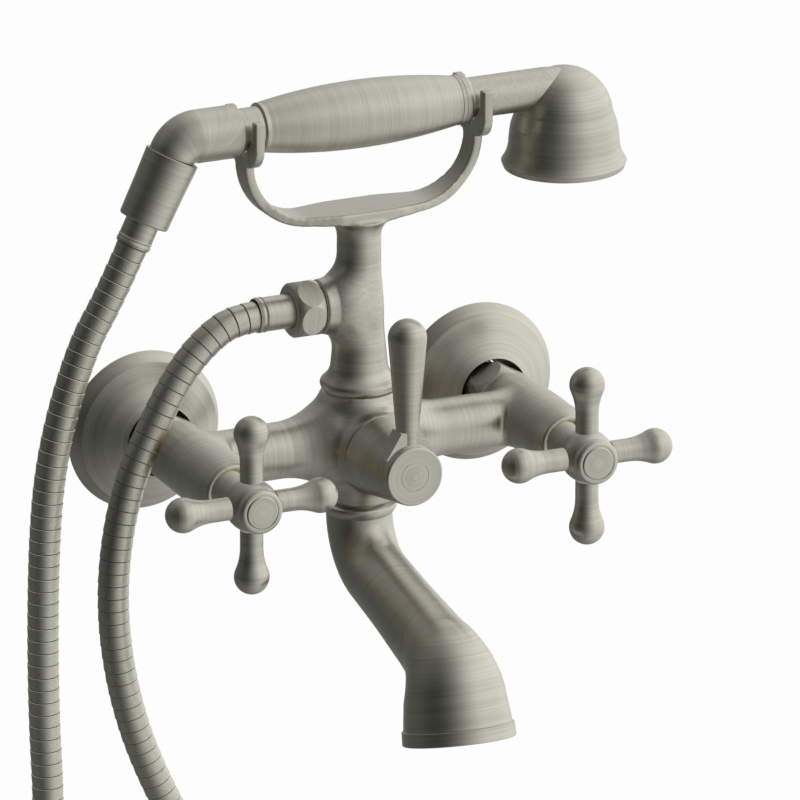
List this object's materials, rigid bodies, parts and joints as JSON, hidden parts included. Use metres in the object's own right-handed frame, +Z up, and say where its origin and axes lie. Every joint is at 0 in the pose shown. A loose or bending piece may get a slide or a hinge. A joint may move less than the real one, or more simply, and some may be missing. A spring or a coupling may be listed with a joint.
{
  "type": "tub filler",
  "caption": "Wall-mounted tub filler in brushed nickel: cross handles on a crossbar, curved spout, lever diverter, and a hand shower in a cradle, fed by a ribbed hose",
  "frame": {"origin": "on the finished wall, midway between the two inlet axes", "axes": "+X to the right along the crossbar as the user sees it, +Y into the wall, +Z up"},
  "size_m": [0.2738, 0.1878, 0.612],
  "materials": {
    "nickel": "brushed nickel",
    "hose_metal": "satin nickel",
    "raw_brass": "machined",
    "steel": "plain",
    "seal": "matte",
    "ceramic": "lapped",
    "white_plastic": "moulded",
    "spray_plate": "moulded"
  },
  "bodies": {
    "mixer": {"mixer_body": "nickel", "left_escutcheon": "nickel", "left_wall_union": "raw_brass", "left_union_nut": "nickel", "left_union_washer": "seal", "left_seat_seal": "seal", "left_cartridge": "raw_brass", "left_fixed_disc": "ceramic", "left_lock_ring": "raw_brass", "right_escutcheon": "nickel", "right_wall_union": "raw_brass", "right_union_nut": "nickel", "right_union_washer": "seal", "right_seat_seal": "seal", "right_cartridge": "raw_brass", "right_fixed_disc": "ceramic", "right_lock_ring": "raw_brass", "diverter_seal": "seal", "diverter_bonnet": "raw_brass", "riser_cradle": "nickel", "riser_seal": "seal", "check_valve": "white_plastic", "hose_washer": "seal", "hose_nut": "nickel", "hose_ferrule": "nickel", "hose": "hose_metal", "spout_retainer": "steel"},
    "left_handle": {"left_turning_disc": "ceramic", "left_stem": "raw_brass", "left_hub": "nickel", "left_handle_arms": "nickel", "left_cap": "nickel", "left_handle_screw": "steel"},
    "right_handle": {"right_turning_disc": "ceramic", "right_stem": "raw_brass", "right_hub": "nickel", "right_handle_arms": "nickel", "right_cap": "nickel", "right_handle_screw": "steel"},
    "diverter": {"diverter_plug": "raw_brass", "diverter_spindle": "raw_brass", "diverter_lever": "nickel", "diverter_screw": "steel", "diverter_badge": "nickel"},
    "spout": {"spout": "nickel", "spout_seals": "seal", "aerator_housing": "white_plastic", "aerator_screen": "steel"},
    "hand_shower": {"handset_stem": "nickel", "grip": "nickel", "grip_ring": "nickel", "grip_collar": "nickel", "handset_elbow": "nickel", "handset_sleeve": "nickel", "handset_ferrule": "nickel", "shower_head": "nickel", "spray_face": "spray_plate"}
  },
  "joints": [
    {"name": "left_handle_turn", "type": "hinge", "parent": "mixer", "child": "left_handle", "pos_m": [-0.075, -0.107, 0], "axis": [0, -1, 0], "range_deg": [0, 90]},
    {"name": "right_handle_turn", "type": "hinge", "parent": "mixer", "child": "right_handle", "pos_m": [0.075, -0.107, 0], "axis": [0, -1, 0], "range_deg": [-90, 0]},
    {"name": "diverter_turn", "type": "hinge", "parent": "mixer", "child": "diverter", "pos_m": [0, -0.095, 0], "axis": [0, -1, 0], "range_deg": [-45, 45]},
    {"name": "spout_swivel", "type": "hinge", "parent": "mixer", "child": "spout", "pos_m": [0, -0.048, -0.02], "axis": [0, 0, 1], "range_deg": [-60, 60]},
    {"name": "hand_shower_lift", "type": "slide", "parent": "mixer", "child": "hand_shower", "axis": [0, 0, 1], "range_m": [0, 0.06], "deforming": ["hose"]}
  ]
}
